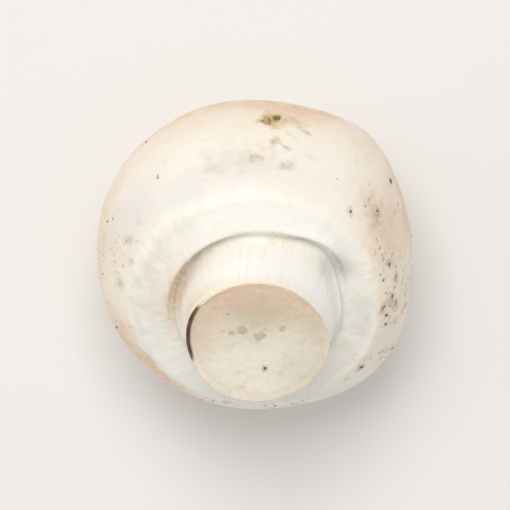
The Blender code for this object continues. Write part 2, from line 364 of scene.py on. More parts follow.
class Surface:
    # a Principled material with short calls for its nodes; sizes are metres, or the vector's own units
    def __init__(self, name, sockets):
        self.material = bpy.data.materials.new(name)
        self.material.use_nodes = True
        self.tree = self.material.node_tree
        self.shader = self.tree.nodes["Principled BSDF"]
        for socket, value in sockets.items():
            self.shader.inputs[socket].default_value = value
        self.place = self.tree.nodes.new("ShaderNodeTexCoord").outputs["Object"]

    def add(self, kind, inputs, output=0, **settings):
        # a node with its settings; each input is given a value or is linked
        made = self.tree.nodes.new(kind)
        for name, value in settings.items():
            setattr(made, name, value)
        for name, value in inputs.items():
            if isinstance(value, bpy.types.NodeSocket):
                self.tree.links.new(value, made.inputs[name])
            else:
                made.inputs[name].default_value = value
        return made.outputs[output]

    def wear(self, socket, value):
        # link a value to a socket of the shader
        self.tree.links.new(value, self.shader.inputs[socket])

    def mark(self, name, output="Fac"):
        # a value kept at every point of the mesh
        return self.add("ShaderNodeAttribute", {}, output, attribute_name=name)

    def plus(self, a, b):
        # sum
        return self.add("ShaderNodeMath", {0: a, 1: b}, operation="ADD")

    def times(self, a, b):
        # product
        return self.add("ShaderNodeMath", {0: a, 1: b}, operation="MULTIPLY")

    def span(self, value, low, high, out=(0.0, 1.0)):
        # smooth step from one output to the other as the value goes from low to high
        return self.add("ShaderNodeMapRange", {"Value": value, "From Min": low, "From Max": high,
                                               "To Min": out[0], "To Max": out[1]},
                        interpolation_type="SMOOTHSTEP")

    def noise(self, size, detail=3.0, rough=0.55, where=None):
        # noise whose blobs are about this size across
        return self.add("ShaderNodeTexNoise", {"Vector": where or self.place, "Scale": 1.0 / size,
                                               "Detail": detail, "Roughness": rough})

    def mix(self, factor, a, b):
        # from colour a to colour b as the factor goes from nought to one
        return self.add("ShaderNodeMix", {0: factor, 6: a, 7: b}, 2, data_type="RGBA")

    def cloud(self, size, detail, rough, low, high, out=(0.0, 1.0)):
        # noise through a smooth step
        return self.span(self.noise(size, detail, rough), low, high, out)

    def tint(self, where, share, name):
        # the colour so far drawn towards a named tone by a share of a mark
        self.colour = self.mix(self.times(where, share), self.colour, tone[name])

    def torn(self, name, size, soft):
        # a mark broken up by noise: most of the mark plus noise, stepped across a soft width
        shaken = self.plus(self.times(self.mark(name), 0.6), self.noise(size, 6.0, 0.7))
        inside = self.span(self.mark(name), 0.0, 0.6)
        return self.times(self.span(shaken, 1.05 - soft, 1.05), inside)

    def dots(self, where, gap, size, halo, core):
        # small dots, one in each lattice cell of the gap's size, most of them left out; each has a halo
        spot = self.add("ShaderNodeMix", {0: 0.0004 / gap, 4: self.place, 5: self.wander(gap)}, 1,
                        data_type="VECTOR")
        cell = {"Vector": spot, "Scale": 1.0 / gap}
        far = self.add("ShaderNodeTexVoronoi", cell, "Distance")
        odds = self.add("ShaderNodeSeparateColor", {0: self.add("ShaderNodeTexVoronoi", cell, "Color")})
        drawn = self.times(self.span(odds, 0.45, 0.95), where)
        ring = self.times(self.span(far, 2.4 * size, 0.9 * size), drawn)
        self.tint(ring, 0.55, halo)
        self.tint(self.span(far, size, 0.5 * size), drawn, core)

    def wander(self, size):
        # coloured noise of about this length, by which a place is shifted a little
        given = {"Vector": self.place, "Scale": 2.0 / size, "Detail": 2.0}
        shift = self.add("ShaderNodeTexNoise", given, "Color")
        return self.add("ShaderNodeVectorMath", {0: shift, 1: (size, size, size)}, operation="MULTIPLY")

    def finished(self, roughness, cloudSize, fibreSize, detail, strength):
        # the worn material: its colour, a cloudy roughness, and fine relief over long fibres
        fibres = self.noise(fibreSize, 5.0, 0.65, self.mark("grain", "Vector"))
        fibres = self.bumps(fibres, 0.35, 0.00012)
        self.wear("Base Color", self.colour)
        self.wear("Roughness", self.cloud(cloudSize, 3.0, 0.55, 0.3, 0.7, roughness))
        self.wear("Normal", self.bumps(self.noise(0.0004, detail), strength, 0.0001, fibres))
        return self.material

    def bumps(self, height, strength, distance, under=None):
        # fine relief in the normal, over another bump where one is given
        inputs = {"Height": height, "Strength": strength, "Distance": distance}
        if under:
            inputs["Normal"] = under
        return self.add("ShaderNodeBump", inputs)


def texture(size, seed, layers=3):
    # layered noise read at every point of the standing mushroom
    return layeredNoise(standing, size, seed, layers)


# calm and fleckSides: amount, angle and spread, the heights between which it comes in
# other patches: amount, angle and spread, then height or radius and its spread
# dents and spots: angle, height, then reach round and up the cap (or size and depth), and strength
capLook = dict(
    edgeSlant=1.1, edgeTurn=-10.0, edgeRag=0.55, edgeFringe=0.7, edgeSoft=2.6, edgeCalm=4.0, edgeStep=0.08,
    silk=0.045, swell=0.16, felt=0.05, wrinkle=0.07, sink=0.22, scarDepth=0.2, haloDepth=0.1,
    scratchLift=0.05, scoreDepth=0.07, foldDepth=0.35,
    dents=[(64, 6.0, 3.2, 0.22), (118, -3.0, 4.0, 0.25), (168, 9.0, 2.6, 0.2), (22, 5.0, 3.0, 0.22),
           (250, -6.0, 4.5, 0.3), (305, -4.0, 3.5, 0.25)],
    calm=(1.0, 92, 66, -3, 6), calmAge=0.85, fleckFree=(1.0, 94, 46),
    fleckSides=[(1.0, 0, 42, -5, 7), (0.32, 168, 26, -2, 10), (0.45, 262, 50, -12, 6)],
    # tan growing down the cap towards the crown, most on its sides: partly the skin's own tan, partly
    # painted shade and warm reflected light
    tanShadeSides=[(1.0, -8, 42), (0.85, 180, 44), (1.0, 270, 50)], tanShadeAged=(0.5, 4, 36), tanShadeTop=12.0,
    tanAndShade=[(0.6, 159, 15, 8.5, 5), (0.5, 184, 14, 6.5, 5)],
    # painted shade: a cool grey band across the upper skin
    coolShade=[(1.0, 106, 48, 11, 3.4), (1.0, 142, 24, 9.5, 4.5)],
    # painted shade: the veil greyed on its sides and near its outer edge
    shadeSides=[(1.0, 172, 46), (1.0, -10, 40)], shadeOuter=[(1.0, 136, 20, 17.5, 2), (0.7, 48, 14, 17.5, 2)],
    # blushes: tan bruising of the skin, and painted contact shade and warm reflected light on the +Y edge
    # and low on the -X side
    blush=[(1.1, 216, 25, 11, 5.5), (0.75, 29, 14, 9.2, 4.5), (0.5, 73, 15, -4.5, 3.5),
           (1.25, 82, 38, -11, 6.2), (0.7, 140, 34, -9, 5), (0.5, 184, 26, 1, 5)],
    scar=[(84.6, -0.35, 1.2, 1.4, 0.64), (81.0, -1.4, 0.8, 1.2, 1.0)],
    halo=[(82.5, -0.6, 2.6, 2.8, 1.0), (76.0, -0.7, 2.6, 1.5, 0.7)],
    yellow=[(87.0, 5.2, 1.5, 1.7, 0.75), (80.5, 4.0, 1.8, 1.4, 0.7), (75.5, 1.0, 2.4, 1.4, 0.6)],
    grey=[(82.0, 5.3, 0.9, 1.1, 1.0), (89.0, 8.7, 1.6, 1.3, 0.9), (76.0, 9.3, 1.5, 1.3, 0.8),
          (68.0, 6.6, 1.2, 0.9, 0.3), (107.0, 10.1, 1.6, 1.0, 0.5), (95.0, 8.6, 7.5, 3.4, 0.32)],
    stain=[(47, 12.2, 0.8, 0.8, 0.9), (41, 10.1, 0.6, 0.6, 0.5), (35, 9.0, 1.1, 1.2, 0.8),
            (34, 10.3, 1.2, 1.0, 0.5), (37, 9.6, 3.4, 3.2, 0.42), (32, 0.7, 0.7, 1.2, 0.8),
            (16, 12.0, 0.9, 0.9, 1.0), (12, 13.6, 0.6, 0.7, 0.7), (8, 11.1, 0.7, 0.8, 0.7),
            (1, 12.4, 0.7, 0.7, 0.7), (353, 13.4, 0.7, 0.8, 0.7), (348, 13.2, 0.6, 0.7, 0.6),
            (323, 13.2, 0.8, 0.9, 0.9), (331, 8.5, 0.7, 0.9, 0.5), (154, 11.3, 1.0, 1.0, 0.5),
            (161, 12.8, 0.8, 1.0, 0.4), (174, 12.2, 1.2, 1.2, 0.5), (145, 11.3, 0.8, 0.8, 0.3)],
    # strokes: the angle and height of each end, and strength; scratches are pale, scores dark
    scratches=[(78, 0.0, 70, 4.2, 1.0), (80, 2.7, 70, 6.0, 0.9), (75, 6.0, 69, 7.2, 0.6)],
    scores=[(68, 2.3, 74.5, -0.1, 1.0), (75, 6.7, 82, 5.0, 1.0), (73, 4.2, 79, 1.8, 0.5)])


def bells(items):
    # one bell round the axis for each item: amount, angle, spread
    return np.stack([amount * angleBump(turned, centre, spread) for amount, centre, spread in items])


def patches(level, items):
    # one swelling for each item, over this height or radius
    return np.stack([swelling(turned, level, item) for item in items])


def flanks(items):
    # bells round the axis that come in between two heights: amount, angle, spread, low, high
    return np.stack([amount * angleBump(turned, centre, spread) * ease(heights, low, high)
                     for amount, centre, spread, low, high in items])


def fromSpot(angle, height):
    # how far every point lies from a spot of the cap, in millimetres round it and up its outline
    aside = (turned - np.radians(angle) + np.pi) % (2 * np.pi) - np.pi
    spot = np.interp(ringAt(height), np.arange(len(travel)), travel)
    return aside * radii, travel[None, :] - spot


def blots(spots):
    # soft ragged ovals: each has an angle, a height, its reach round and up the cap, and its strength
    ragged = 0.55 * texture(1.0, 33)
    total = 0.0
    for angle, height, wide, tall, strength in spots:
        aside, upward = fromSpot(angle, height)
        far = np.hypot(aside / wide, upward / tall) + ragged
        total = np.maximum(total, strength * ease(-far, -1.25, -0.3))
    return total


def strokes(lines, width):
    # one along each straight stroke between two spots, fading at its ends and past its width
    total = 0.0
    for angleA, heightA, angleB, heightB, strength in lines:
        near = angleBump(turned, (angleA + angleB) / 2, 30.0)
        xA, yA = fromSpot(angleA, heightA)
        xB, yB = fromSpot(angleB, heightB)
        dx, dy = xA - xB, yA - yB
        share = np.clip((xA * dx + yA * dy) / (dx ** 2 + dy ** 2), 0.0, 1.0)
        off = np.hypot(xA - share * dx, yA - share * dy)
        ends = ease(share, 0.0, 0.2) * ease(1.0 - share, 0.0, 0.45)
        total = np.maximum(total, strength * near * bump(off, 0.0, width) * ends)
    return total


def fringeAt(reach, stretch):
    # places on a cylinder of this reach: noise read there makes streaks that run up the outline
    return np.stack([reach * np.cos(turned), reach * np.sin(turned),
                     stretch * travel[None, :] + 0.0 * turned], axis=-1)


# the groove's colours, painted shade with some tan dirt: widths along the outline, the share at every
# angle, then amount, angle and spread
grooveShadeLook = dict(shadeWide=1.5, shadeAll=0.12, tan=[(1.0, 168, 26)],
                  creaseWide=0.5, creaseRag=0.2, creaseAll=0.15, creaseShade=[(0.85, 140, 26), (0.5, 60, 13)])


def grooveShadeAndDirt(offset):
    # painted shade in the groove, tan and deepest on the -X side, partly tan dirt, and a narrow olive line
    # of painted crease shade along its floor
    look = grooveShadeLook
    tan = bump(pastSeam, offset, look["shadeWide"]) * (look["shadeAll"] + bells(look["tan"]).sum(axis=0))
    line = bump(pastSeam + look["creaseRag"] * texture(1.0, 37), 0.0, look["creaseWide"])
    return tan, line * (look["creaseAll"] + bells(look["creaseShade"]).sum(axis=0))


# where the groove runs out into the veil, a dent with painted grey shade: place to +X and +Y, turn, reach
# along and across, height
fold = dict(right=10.9, up=6.4, turn=-27.0, long=2.8, wide=1.5, height=15.2, tall=2.2)


def foldShade():
    # painted shade, a grey oval: a bell along the fold times one across it times one over height
    x, y = acrossX - fold["right"], acrossY - fold["up"]
    c, s = np.cos(np.radians(fold["turn"])), np.sin(np.radians(fold["turn"]))
    oval = bump(x * c + y * s, 0.0, fold["long"]) * bump(y * c - x * s, 0.0, fold["wide"])
    return oval * bump(heights, fold["height"], fold["tall"])


def capMarks():
    # where the skin ends and how aged it is, where flecks gather, blushes partly of painted shade and warm
    # light, scars; painted shade: the groove's tan and crease line, the fold's grey, a cool band and partly
    # the warm tan on the skin, grey on the veil's sides
    look = capLook
    calm = flanks([look["calm"]])[0]
    rag = look["edgeRag"] * layeredNoise(standing * [1, 1, 0.4], 2.6, 11, 4)
    rag += look["edgeFringe"] * layeredNoise(fringeAt(cap["radius"], 0.05), 1.3, 13, 4)
    edge = travel[marginRing] + look["edgeSlant"] * np.cos(turned - np.radians(look["edgeTurn"])) + rag
    skin = ease((edge - travel[None, :]) / (look["edgeSoft"] + look["edgeCalm"] * calm), -0.2, 0.34)
    age = skin * (1.0 - look["calmAge"] * calm)
    clumps = ease(texture(4.0, 19, 3), -0.4, 0.3)
    flecks = skin * np.clip(flanks(look["fleckSides"]).max(axis=0), 0.0, 1.0) * clumps
    flecks *= (1.0 - bells([look["fleckFree"]])[0]) ** 2
    # tan growing down the cap towards the crown, most on its sides: partly the skin's own tan, partly
    # painted shade and warm reflected light
    tanAndShade = skin * ease(look["tanShadeTop"] - heights, 0.0, 15.0)
    tanAndShade *= (0.4 + 0.6 * bells(look["tanShadeSides"]).max(axis=0))
    tanAndShade += age * bells([look["tanShadeAged"]])[0] + skin * patches(heights, look["tanAndShade"]).sum(axis=0)
    # painted shade: a cool grey band across the upper skin
    coolShade = skin * patches(heights, look["coolShade"]).max(axis=0)
    # painted shade: the veil greyed on its sides and near its outer edge
    outer = patches(radii, look["shadeOuter"]).max(axis=0)
    sideShade = (1.0 - skin) * np.maximum(bells(look["shadeSides"]).max(axis=0), outer)
    # blushes: tan bruising, and painted contact shade and warm reflected light on the +Y edge and low on
    # the -X side
    blush = patches(heights, look["blush"]).sum(axis=0)
    blush = skin * np.clip(blush * (1.0 + 0.5 * texture(3.5, 21)), 0.0, 1.0)
    groove, creaseShade = grooveShadeAndDirt(-0.2)
    return dict(skin=skin, age=age, flecks=flecks, tanAndShade=tanAndShade, coolShade=coolShade, sideShade=sideShade, blush=blush,
                hollow=foldShade(), groove=groove, creaseShade=creaseShade,
                **{name: blots(look[name]) for name in ("scar", "halo", "yellow", "grey", "stain")},
                scratch=strokes(look["scratches"], 0.3), score=strokes(look["scores"], 0.3))


def capRelief(marks):
    # lift along the normal: skin edge, silky fibrils, slow swells, felted and wrinkled veil, dents, scars
    look, skin = capLook, marks["skin"]
    silkAt = fringeAt(cap["radius"], 0.25)
    lift = look["edgeStep"] * skin
    lift += look["silk"] * layeredNoise(silkAt, 0.9, 41) * (0.45 + 0.55 * marks["age"])
    lift += look["swell"] * texture(6.5, 51, 2) * skin
    lift += look["felt"] * texture(0.8, 61) * (1.0 - skin)
    lift += look["wrinkle"] * layeredNoise(silkAt, 1.5, 71, 3) * (1.0 - skin)
    for angle, height, size, depth in look["dents"]:
        aside, upward = fromSpot(angle, height)
        lift -= depth * np.exp(-(aside ** 2 + upward ** 2) / size ** 2)
    lift -= look["scarDepth"] * marks["scar"] * (1.0 + 0.5 * texture(0.5, 81))
    lift -= look["haloDepth"] * marks["halo"] * (0.6 + texture(0.9, 83))
    lift += look["scratchLift"] * marks["scratch"] - look["scoreDepth"] * marks["score"]
    return lift - look["foldDepth"] * marks["hollow"] - look["sink"]


# patches: amount, angle and spread, then height or distance from the middle of the cut and its spread
# ovals on the cut: place to +X and +Y, reach each way, strength; specks: angle, distance, size, strength
stemLook = dict(
    fibre=0.07, swell=0.12, cotton=0.1, flesh=0.05, ridges=0.012, ridgeGap=1.05, ridgeTurn=24.0,
    pith=0.1, ragged=0.1, slit=0.4, slitTurn=171.0, slitSpread=30.0, tear=0.14, tearTurn=-42.0,
    cortexDepth=0.03, speckDepth=0.02, sink=0.2, cortex=8.9, pithReach=3.0,
    faceBack=0.38, faceRag=0.12, lowSide=(1.0, 285, 62), lowFace=0.4, lowRimShade=0.6,
    # painted highlight: cream along the cut's upper rim, and cream marks on the stem's -X side
    highlightTop=(1.0, 92, 60), highlightBack=0.75, highlightWide=0.6, creamSide=[(0.7, 150, 16, 23.6, 1.2)],
    pink=[(1.0, 176, 26, 8.2, 2.4), (0.8, 112, 34, 8.6, 2.6)],
    tan=[(1.0, 160, 30, 22, 3), (0.8, 300, 40, 23, 2.5)],
    # painted shade: darker ovals on the cut, and more on its lower rim
    cutShade=[(0.6, 4.8, 6.0, 2.4, 1.15), (6.0, -4.5, 3.4, 3.6, 0.7), (8.6, 1.4, 2.2, 4.0, 0.8)],
    # painted light: brighter patches low on the cut
    cutLitPatch=[(-0.8, -2.3, 3.2, 1.6, 1.0), (2.2, -0.4, 2.2, 1.8, 0.8)],
    specks=[(138, 2.8, 0.8, 1.0), (75, 0.9, 0.9, 1.0), (34, 4.2, 0.7, 0.9), (160, 3.8, 0.6, 0.6),
            (283, 4.7, 0.7, 0.9), (60, 2.4, 0.5, 0.5)])


def faceBlots(spots):
    # soft ragged dots on the cut: angle, distance from its middle, size, strength
    ragged = 0.6 * texture(0.7, 35)
    total = 0.0
    for angle, reach, size, strength in spots:
        turn = np.radians(angle)
        far = np.hypot(acrossX - reach * np.cos(turn), acrossY - reach * np.sin(turn))
        total = np.maximum(total, strength * ease(-far / size - ragged, -1.3, -0.2))
    return total


def faceOvals(spots):
    # soft ovals on the cut, added up: a bell to +X times a bell to +Y
    return sum(strength * bump(acrossX, right, wide) * bump(acrossY, up, tall)
               for right, up, wide, tall, strength in spots)


def stemMarks():
    # the cut face with its painted shade and a painted light patch, its brown stretch of rim and its cream
    # rim with a painted highlight, the pith, and tan on the stem side
    look, uneven = stemLook, texture(1.4, 181)
    low = bells([look["lowSide"]])[0]
    # painted shade: darker ovals on the cut and along its lower rim
    cutShade = faceOvals(look["cutShade"]) + look["lowRimShade"] * low * bump(pastEdge, 0.0, 0.8)
    back = look["faceBack"] + look["lowFace"] * low + look["faceRag"] * uneven
    face = ease(pastEdge + back, 0.0, 0.3)
    arc = ease(angleBump(turned, look["slitTurn"], look["slitSpread"]), 0.1, 0.7)
    brown = arc * bump(pastEdge, -0.12 + 0.06 * uneven, 0.16 + 0.42 * arc)
    # painted highlight: cream along the cut's upper rim, and cream marks on the stem's -X side
    creamHighlight = bump(pastEdge, 0.15 * uneven - look["highlightBack"], look["highlightWide"])
    creamHighlight *= bells([look["highlightTop"]])[0]
    creamHighlight += patches(heights, look["creamSide"]).sum(axis=0) * (1.0 - face)
    pith = face * bump(radii, 0.0, look["pithReach"]) * (1.0 + 0.6 * texture(1.5, 91))
    up = face * (0.5 + 0.5 * acrossY / stem["cutRadius"])
    pink = face * patches(radii, look["pink"]).sum(axis=0)
    cortex = face * bump(radii + 0.3 * texture(2.0, 93), look["cortex"], 0.32)
    tan = (1.0 - face) * patches(heights, look["tan"]).sum(axis=0)
    groove, creaseShade = grooveShadeAndDirt(0.2)
    return dict(face=face, brown=brown, creamHighlight=creamHighlight, pith=pith, up=up, pink=pink, cortex=cortex, tan=tan,
                hollow=(1.0 - face) * foldShade(), grey=face * faceBlots(look["specks"]),
                cutShade=face * cutShade, cutLitPatch=face * faceOvals(look["cutLitPatch"]), groove=groove, creaseShade=creaseShade)


def stemRelief(marks):
    # lift along the normal: long fibres on the side, knife ridges and soft flesh on the cut, ragged rim
    look, face = stemLook, marks["face"]
    fibreAt = fringeAt(stem["foot"], 0.1)
    lift = look["fibre"] * layeredNoise(fibreAt, 0.8, 101) * (1.0 - face)
    lift += look["swell"] * texture(5.0, 111, 2)
    near = bump(heights, veil["grooveFloor"] + 2.6, 1.8)  # cottony just above the groove
    lift += look["cotton"] * texture(0.6, 121) * near
    turn = np.radians(look["ridgeTurn"])
    across = standing[..., 0] * np.sin(turn) + standing[..., 1] * np.cos(turn)
    across += 0.25 * texture(3.0, 131, 2)
    strength = 0.5 + 0.5 * texture(4.0, 141, 2)
    lift += look["ridges"] * np.sin(2 * np.pi * across / look["ridgeGap"]) * strength * face
    lift += look["flesh"] * texture(0.7, 151) * face
    lift += look["ragged"] * layeredNoise(fibreAt * [1, 1, 0], 1.1, 161) * bump(pastEdge, -0.4, 0.5)
    slit = angleBump(turned, look["slitTurn"], look["slitSpread"]) * bump(pastEdge, -0.45, 0.25)
    turn = np.radians(look["tearTurn"])
    chord = standing[..., 0] * np.cos(turn) + standing[..., 1] * np.sin(turn)
    torn = ease(chord + 0.3 * texture(1.6, 171), 8.2, 10.2) * face
    lift -= look["pith"] * marks["pith"] + look["slit"] * slit + look["tear"] * torn
    return lift - look["speckDepth"] * marks["grey"] - look["cortexDepth"] * marks["cortex"] - look["sink"]


def dressed():
    # the whole outside with its relief, fading to none at the groove's floor where the pieces meet
    before = np.arange(profile.shape[1]) <= seam
    onCap, onStem = capMarks(), stemMarks()
    lift = np.where(before[None, :], capRelief(onCap), stemRelief(onStem))
    lift = lift * ease(np.abs(pastSeam), 0.0, 0.7)
    print("relief: from", lift.min().round(2), "to", lift.max().round(2), "mm")
    return standing + normals * lift[..., None], onCap, onStem


shape, capMark, stemMark = dressed()


def onAxis(height):
    # the point of the mushroom's own axis at this height, laid down
    return laidDown(standingPoints(np.zeros(1), np.zeros(1), np.full(1, height)))[0]


def hiddenRing(radius, height):
    # a plain ring inside the flesh, where a piece is closed out of sight
    level = np.zeros((len(angles), 1))
    return standingPoints(turned[:, :1], level + radius, level + height)


def makeCap():
    # everything from the crown to the groove's floor, closed by a disc hidden in the stem
    rows = np.concatenate([shape[:, :seam + 1], hiddenRing(8.0, 12.5)], axis=1)
    capMark["grain"] = fringeAt(cap["radius"], 0.22)
    kept = {name: np.concatenate([v[:, :seam + 1], v[:, seam:seam + 1]], axis=1)
            for name, v in capMark.items()}
    return gridPiece("capWithVeil", laidDown(rows), onAxis(0.2 - cap["crownDepth"]), onAxis(12.3), kept)


def makeStem():
    # everything from the groove's floor to the middle of the cut, closed below inside the cap
    rows = np.concatenate([hiddenRing(9.0, 11.5), shape[:, seam:]], axis=1)
    stemMark["grain"] = fringeAt(stem["foot"], 0.1)
    kept = {name: np.concatenate([v[:, seam:seam + 1], v[:, seam:]], axis=1)
            for name, v in stemMark.items()}
    top = stem["cutHeight"] - stem["dish"] - 0.2 - 0.2 * stemLook["pith"]
    return gridPiece("stemWithCutEnd", laidDown(rows), onAxis(11.3), onAxis(top), kept)


capPiece = makeCap()
stemPiece = makeStem()
print("cap and stem: meshes made")


# loose scales of skin: half width and half length, each from least to most
flake = dict(count=230, sides=10, rings=(0.55, 0.85, 1.0), wide=(0.07, 0.22), tall=(0.1, 0.48), thick=0.03,
             ragged=0.7, sunk=0.15, lowest=-12.0, seed=5)


def scatter(rng, count, weight):
    # random spots of the skin, kept more often where the weight is high
    many = count * 60
    angle = rng.random(many) * 2 * np.pi
    lowRing = ringAt(flake["lowest"])
    along = lowRing + rng.random(many) * (marginRing - 1 - lowRing)
    chance = onSurface(weight[..., None], angle, along)[..., 0]
    chance *= onSurface(radii[..., None], angle, along)[..., 0] / cap["radius"]
    kept = rng.random(many) < chance
    return angle[kept][:count], along[kept][:count]


def closedRings(sides, rings):
    # faces of a small closed body: its first point, rings of points, its last point
    here = np.arange(sides)
    after = (here + 1) % sides
    faces = [np.stack([np.zeros(sides, int), 1 + here, 1 + after], axis=-1)]
    for k in range(rings - 1):
        low, high = 1 + k * sides, 1 + (k + 1) * sides
        faces.append(np.stack([low + here, high + here, high + after, low + after], axis=-1))
    last = 1 + rings * sides
    faces.append(np.stack([last - sides + after, last - sides + here, np.full(sides, last)], axis=-1))
    return faces


def makeFlakes():
    # thin lens-shaped scales of skin, longer up the cap than round it, lying on the surface
    rng = np.random.default_rng(flake["seed"])
    angle, along = scatter(rng, flake["count"], capMark["flecks"])
    count, sides = len(angle), flake["sides"]
    wide = rng.uniform(*flake["wide"], count)[:, None, None]
    tall = rng.uniform(*flake["tall"], count)[:, None, None]
    turn = 2 * np.pi * np.arange(sides) / sides
    ragged = 1.0 + flake["ragged"] * (rng.random((count, 1, sides)) - 0.5)
    ring = np.array(flake["rings"])[None, :, None]
    aside = ring * np.cos(turn)[None, None, :] * ragged * wide
    upward = ring * np.sin(turn)[None, None, :] * ragged * tall
    step = np.gradient(travel)[along.astype(int)][:, None, None]
    radius = onSurface(radii[..., None], angle, along)[..., 0][:, None, None]
    at = angle[:, None, None] + aside / radius
    ringNumber = along[:, None, None] + upward / step
    base = onSurface(shape, at, ringNumber)
    normal = onSurface(normals, at, ringNumber)
    top = base + normal * flake["thick"] * (1.1 - ring ** 2)[..., None]
    under = base[:, -1:] - flake["sunk"] * normal[:, -1:]
    centre = onSurface(shape, angle, along)
    up = onSurface(normals, angle, along)
    bodies = np.concatenate([(centre + 1.1 * flake["thick"] * up)[:, None], top.reshape(count, -1, 3),
                             under.reshape(count, -1, 3), (centre - 0.2 * up)[:, None]], axis=1)
    faces = closedRings(sides, len(flake["rings"]) + 1)
    print("flakes:", count)
    return manyPiece("skinFlakes", laidDown(bodies), faces, rng.random(count))


# strands of torn veil: stretch of angles that hold tufts, steps from the groove's floor to each end
thread = dict(count=110, tufts=30, stretch=(30.0, 190.0), spread=3.5, toLip=(1.2, 3.3), toStem=(1.2, 2.4),
              points=10, sides=5, thick=0.022, loose=0.85, arch=(0.02, 0.3), sway=0.12, curl=0.07, seed=9)


def makeThreads():
    # fine strands of torn veil: some bridge the groove from lip to stem, some end loose and curl
    rng = np.random.default_rng(thread["seed"])
    count, length, sides = thread["count"], thread["points"], thread["sides"]
    tuft = rng.uniform(*thread["stretch"], thread["tufts"])
    angle = tuft[rng.integers(0, thread["tufts"], count)] + rng.normal(0.0, thread["spread"], count)
    angle = np.radians(angle)
    lip = seam - grid["step"] * rng.uniform(*thread["toLip"], count)
    foot = seam + grid["step"] * rng.uniform(*thread["toStem"], count)
    start = onSurface(shape, angle, lip)
    end = onSurface(shape, angle + np.radians(rng.normal(0.0, 2.0, count)), foot)
    up = onSurface(normals, angle, lip)
    loose = rng.random(count) < thread["loose"]
    sideways = unit(np.cross(up, end - start))
    stray = start + (end - start) * 0.35 + up * rng.uniform(0.1, 0.45, (count, 1))
    stray += sideways * rng.normal(0.0, 0.22, (count, 1))
    end = np.where(loose[:, None], stray, end)
    t = np.linspace(0.0, 1.0, length)[None, :, None]
    arch = 4.0 * t * (1.0 - t)
    path = start[:, None] * (1 - t) + end[:, None] * t
    path += up[:, None] * arch * rng.uniform(*thread["arch"], (count, 1, 1))
    path += sideways[:, None] * arch * rng.normal(0.0, thread["sway"], (count, 1, 1))
    curl = np.stack([layeredNoise(path + 9.0 * k, 0.5, 181 + k) for k in range(3)], axis=-1)
    path += thread["curl"] * curl * arch
    tangent = unit(np.gradient(path, axis=1))
    first = unit(np.cross(tangent, up[:, None]))
    second = np.cross(tangent, first)
    turn = (2 * np.pi * np.arange(sides) / sides)[None, None, :, None]
    thin = 1.0 - 0.75 * t ** 2 * loose[:, None, None]
    thick = thread["thick"] * rng.uniform(0.6, 1.4, (count, 1, 1, 1)) * thin[:, :, None]
    rim = np.cos(turn) * first[:, :, None] + np.sin(turn) * second[:, :, None]
    tube = path[:, :, None] + thick * rim
    here = np.arange(sides)
    after = (here + 1) % sides
    band = np.stack([here, after, sides + after, sides + here], axis=-1)
    faces = [band + k * sides for k in range(length - 1)]
    faces.append(here[None, ::-1])
    faces.append((length - 1) * sides + here[None])
    print("threads:", count)
    return manyPiece("veilThreads", laidDown(tube.reshape(count, -1, 3)), faces, np.zeros(count))


# grains of soil: how many are scattered, then those at chosen spots, by angle, height (or distance from
# the middle of the cut) and half size
crumb = dict(seed=17, loose=26, around=7, rings=4, size=(0.08, 0.22),
             cap=[(47, 12.2, 0.28), (41, 10.1, 0.18), (35, 9.0, 0.24), (32, 0.7, 0.32), (16, 12.0, 0.32),
                  (12, 13.6, 0.22), (8, 11.1, 0.24), (1, 12.4, 0.26), (353, 13.4, 0.22),
                  (348, 13.2, 0.22), (323, 13.2, 0.28), (331, 8.5, 0.22), (155, 11.3, 0.11),
                  (174, 12.2, 0.12), (134, -4.3, 0.24)],
             cut=[(283, 4.7, 0.24), (132, 6.1, 0.1)])


def makeCrumbs():
    # small rough grains half sunk in the surface, at chosen spots and in a loose seeded scatter
    rng = np.random.default_rng(crumb["seed"])
    around, rings = crumb["around"], crumb["rings"]
    chosen = np.array([(a, ringAt(h), s) for a, h, s in crumb["cap"]]
                      + [(a, faceRing(r), s) for a, r, s in crumb["cut"]])
    angle, along = scatter(rng, crumb["loose"], capMark["flecks"])
    size = np.concatenate([chosen[:, 2], rng.uniform(*crumb["size"], len(angle))])
    angle = np.concatenate([np.radians(chosen[:, 0]), angle])
    along = np.concatenate([chosen[:, 1], along])
    centre = onSurface(shape, angle, along)
    up = onSurface(normals, angle, along)
    side = unit(np.cross(up, np.roll(up, 1, axis=-1)))
    other = np.cross(up, side)
    turn = 2 * np.pi * np.arange(around) / around
    tilt = np.pi * (np.arange(rings) + 1) / (rings + 1)
    ball = np.stack([np.sin(tilt)[:, None] * np.cos(turn), np.sin(tilt)[:, None] * np.sin(turn),
                     np.cos(tilt)[:, None] + 0.0 * turn], axis=-1).reshape(-1, 3)
    ball = np.concatenate([[(0.0, 0.0, 1.0)], ball, [(0.0, 0.0, -1.0)]])
    count = len(angle)
    rough = 1.0 + 0.5 * (rng.random((count, len(ball), 1)) - 0.5)
    squash = rng.uniform(0.6, 1.3, (count, 1, 3)) * [1.0, 1.0, 0.6]
    local = ball[None] * rough * squash * size[:, None, None]
    points = (centre[:, None] + local[..., :1] * side[:, None] + local[..., 1:2] * other[:, None]
              + local[..., 2:] * up[:, None])
    print("crumbs:", count)
    return manyPiece("soilCrumbs", laidDown(points), closedRings(around, rings),
                     rng.random(count))


flakePiece = makeFlakes()
threadPiece = makeThreads()
crumbPiece = makeCrumbs()


